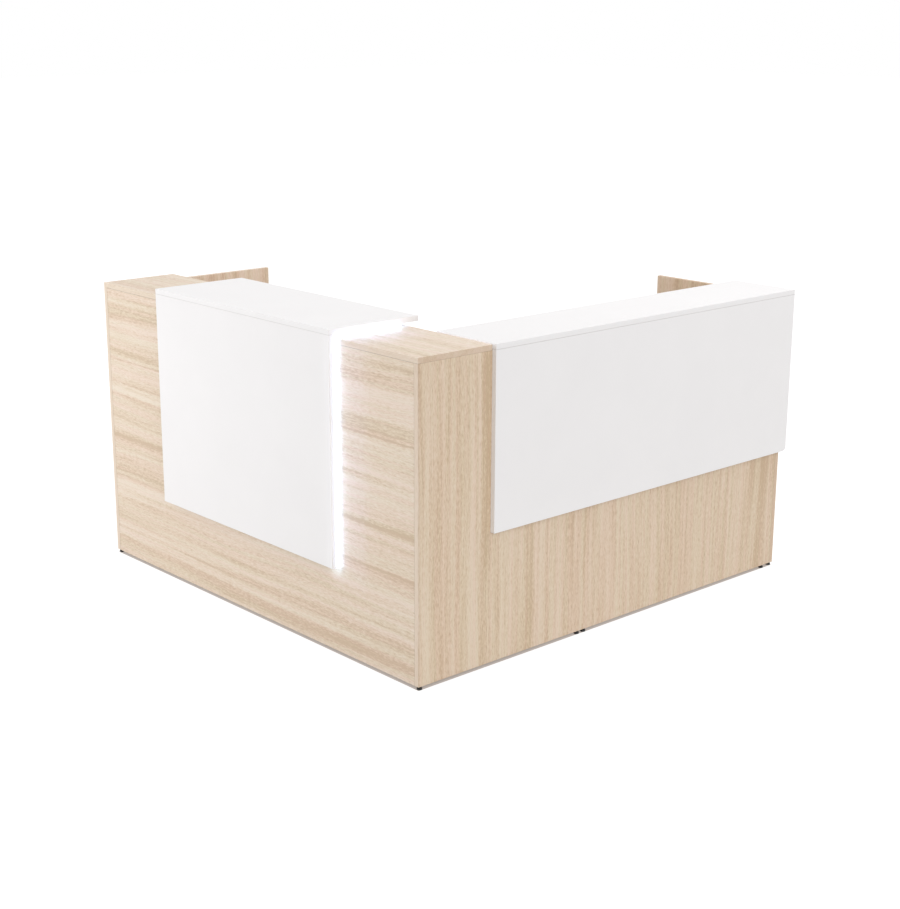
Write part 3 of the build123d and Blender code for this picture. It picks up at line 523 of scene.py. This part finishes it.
# ---------------------------------------------------------------- floor and world
WHITE = (1.0, 1.0, 1.0, 1.0)
FLOOR_SIZE = 80.0
SHADE_COLOUR = (1.0, 0.84, 0.74, 1.0)  # warms the floor's glow under the desk
SHADE_LEVEL = 0.66  # share of the glow that is lost there
SHADE_EDGE = 0.003  # from no shade to full shade, inwards from the outer faces
SHADE_FULL = 0.045  # the shade is full up to here
SHADE_END = 0.120  # and gone from here on
ENDLESS = 1e5  # makes a distance past the end of a wing so long that no shade is left


def camera_rays(tree):
    """1 for what the camera, a mirror or glass sees, and 0 for light that falls on other things."""
    path = tree.nodes.new("ShaderNodeLightPath")
    total = path.outputs["Is Camera Ray"]
    for kind in ("Is Glossy Ray", "Is Transmission Ray"):
        either = tree.nodes.new("ShaderNodeMath")
        either.operation = "MAXIMUM"
        tree.links.new(total, either.inputs[0])
        tree.links.new(path.outputs[kind], either.inputs[1])
        total = either.outputs[0]
    return total


def under_desk(look):
    """1 on the floor just inside the desk's outer faces, fading inwards, and 0 outside them."""
    place = look.axes(look.place)
    from_front = look.math("SUBTRACT", place["y"], FACE_FRONT)
    from_right = look.math("SUBTRACT", FACE_RIGHT, place["x"])
    # The left face ends with the left wing, and the far face with the right one.
    past_rear = look.math("MULTIPLY", look.math("SUBTRACT", place["y"], WING_REAR), ENDLESS)
    past_inner = look.math("MULTIPLY", look.math("SUBTRACT", WING_INNER, place["x"]), ENDLESS)
    from_left = look.math("MAXIMUM", look.math("SUBTRACT", place["x"], FACE_LEFT), past_rear)
    from_far = look.math("MAXIMUM", look.math("SUBTRACT", FACE_FAR, place["y"]), past_inner)
    depth = from_front
    for other in (from_right, from_left, from_far):
        depth = look.math("MINIMUM", depth, other)
    inside = look.math("DIVIDE", depth, SHADE_EDGE, clamp=True)
    fade = look.math("DIVIDE", look.math("SUBTRACT", SHADE_END, depth), SHADE_END - SHADE_FULL, clamp=True)
    return look.math("MULTIPLY", inside, fade)


def make_floor():
    """Pale floor that reads as white and still takes the desk's soft shadow."""
    bpy.ops.mesh.primitive_plane_add(size=FLOOR_SIZE, location=(0, 0, 0))
    floor = bpy.context.object
    floor.name = "floor"
    look = Look("floor", roughness=1.0, specular=0.0)
    look.colour((FLOOR_COLOUR, FLOOR_COLOUR, FLOOR_COLOUR, 1.0))
    # The glow sinks and warms under the desk, so the shade in the gap below the panels stays.
    under = under_desk(look)
    look.link(look.mix(under, WHITE, SHADE_COLOUR), look.shader.inputs["Emission Color"])
    kept = look.math("SUBTRACT", 1.0, look.math("MULTIPLY", under, SHADE_LEVEL))
    glow = look.math("MULTIPLY", camera_rays(look.tree), look.math("MULTIPLY", kept, FLOOR_GLOW))
    look.link(glow, look.shader.inputs["Emission Strength"])
    floor.data.materials.append(look.material)


def make_world():
    """Even light all round. The camera sees plain white."""
    world = bpy.data.worlds.new("studio")
    world.use_nodes = True
    tree = world.node_tree
    tree.nodes.clear()
    output = tree.nodes.new("ShaderNodeOutputWorld")
    background = tree.nodes.new("ShaderNodeBackground")
    background.inputs["Color"].default_value = WHITE
    tree.links.new(background.outputs[0], output.inputs["Surface"])
    level = tree.nodes.new("ShaderNodeMapRange")
    tree.links.new(camera_rays(tree), level.inputs["Value"])
    level.inputs["To Min"].default_value = WORLD_LEVEL
    level.inputs["To Max"].default_value = 1.0
    tree.links.new(level.outputs[0], background.inputs["Strength"])
    bpy.context.scene.world = world


# ---------------------------------------------------------------- lamps
TO_FRONT = Vector((0, -1, 0))
UP = Vector((0, 0, 1))
SPILL_GAP = 0.029
SPILL_MIDDLE = 0.68  # height of the middle of the light that falls on the front
SPILL_HEIGHT = 0.80


def sun(name, towards, level, spread):
    """Broad directional light from the given direction. Level 1 makes a facing white surface white."""
    data = bpy.data.lights.new(name, "SUN")
    data.energy = level * math.pi
    data.angle = math.radians(spread)
    lamp = bpy.data.objects.new(name, data)
    lamp.rotation_euler = Vector(towards).to_track_quat("Z", "Y").to_euler()
    bpy.context.scene.collection.objects.link(lamp)


def panel_lamp(name, at, aim, size, watts, colour=(1.0, 1.0, 1.0)):
    """Flat lamp that isn't seen itself."""
    data = bpy.data.lights.new(name, "AREA")
    data.shape = "RECTANGLE"
    data.size, data.size_y = size
    data.energy = watts
    data.color = colour
    lamp = bpy.data.objects.new(name, data)
    lamp.location = at
    lamp.rotation_euler = (Vector(at) - Vector(aim)).to_track_quat("Z", "Y").to_euler()
    lamp.visible_camera = False
    lamp.visible_glossy = False
    bpy.context.scene.collection.objects.link(lamp)


def spill(name, past_edge, y, z, away, gap, size, watts, colour):
    """Small lamp, held a gap away from a place on a face that lies so far past the wrap's lit edge."""
    place = Vector((WRAP_EDGE + past_edge, y, z))
    panel_lamp(name, place + gap * away, place, size, watts, colour)


def make_lamps():
    panel_lamp("key", at=(-2.1, -4.6, 1.7), aim=(-0.1, -0.9, 0.6), size=(2.2, 2.2), watts=71)
    panel_lamp("over_right", at=(1.2, 1.0, 3.4), aim=(0.77, 0.6, 1.07), size=(1.2, 1.2), watts=11)
    sun("right", towards=(0.88, -0.18, 0.44), level=0.32, spread=50)

    # What the light line sheds on the front: a strong near part, a weaker far one, and its lower end.
    spill("spill_front_near", past_edge=0.028, y=FACE_FRONT, z=SPILL_MIDDLE, away=TO_FRONT, gap=SPILL_GAP,
          size=(0.05, SPILL_HEIGHT), watts=0.010, colour=SPILL_COLOUR)
    spill("spill_front_far", past_edge=0.068, y=FACE_FRONT, z=SPILL_MIDDLE, away=TO_FRONT, gap=SPILL_GAP,
          size=(0.13, SPILL_HEIGHT), watts=0.050, colour=SPILL_COLOUR)
    spill("spill_low_end", past_edge=-0.017, y=FACE_FRONT, z=WRAP_FOOT - 0.010, away=TO_FRONT, gap=0.021,
          size=(0.05, 0.010), watts=0.007, colour=LED_COLOUR)

    # On the wrap's own face, on the counter beside it, and in the gap behind the line's rear end.
    spill("spill_wrap", past_edge=-0.005, y=WRAP_FACE, z=0.70, away=TO_FRONT, gap=0.025,
          size=(0.02, 0.78), watts=0.008, colour=WRAP_SPILL_COLOUR)
    spill("spill_top", past_edge=0.068, y=-0.770, z=COUNTER_TOP, away=UP, gap=SPILL_GAP,
          size=(0.13, 0.27), watts=0.032, colour=SPILL_COLOUR)
    spill("spill_top_end", past_edge=-0.018, y=COUNTER_REAR - 0.020, z=COUNTER_TOP, away=UP, gap=0.012,
          size=(0.036, 0.036), watts=0.009, colour=LED_COLOUR)


def make_camera():
    data = bpy.data.cameras.new("camera")
    data.lens = CAMERA_LENS
    data.sensor_width = SENSOR_WIDTH
    data.clip_end = CAMERA_REACH
    camera = bpy.data.objects.new("camera", data)
    camera.location = CAMERA_AT
    camera.rotation_euler = [math.radians(value) for value in CAMERA_TURN]
    bpy.context.scene.collection.objects.link(camera)
    bpy.context.scene.camera = camera


make_floor()
make_world()
make_lamps()
make_camera()
bpy.context.scene.view_settings.view_transform = "Standard"
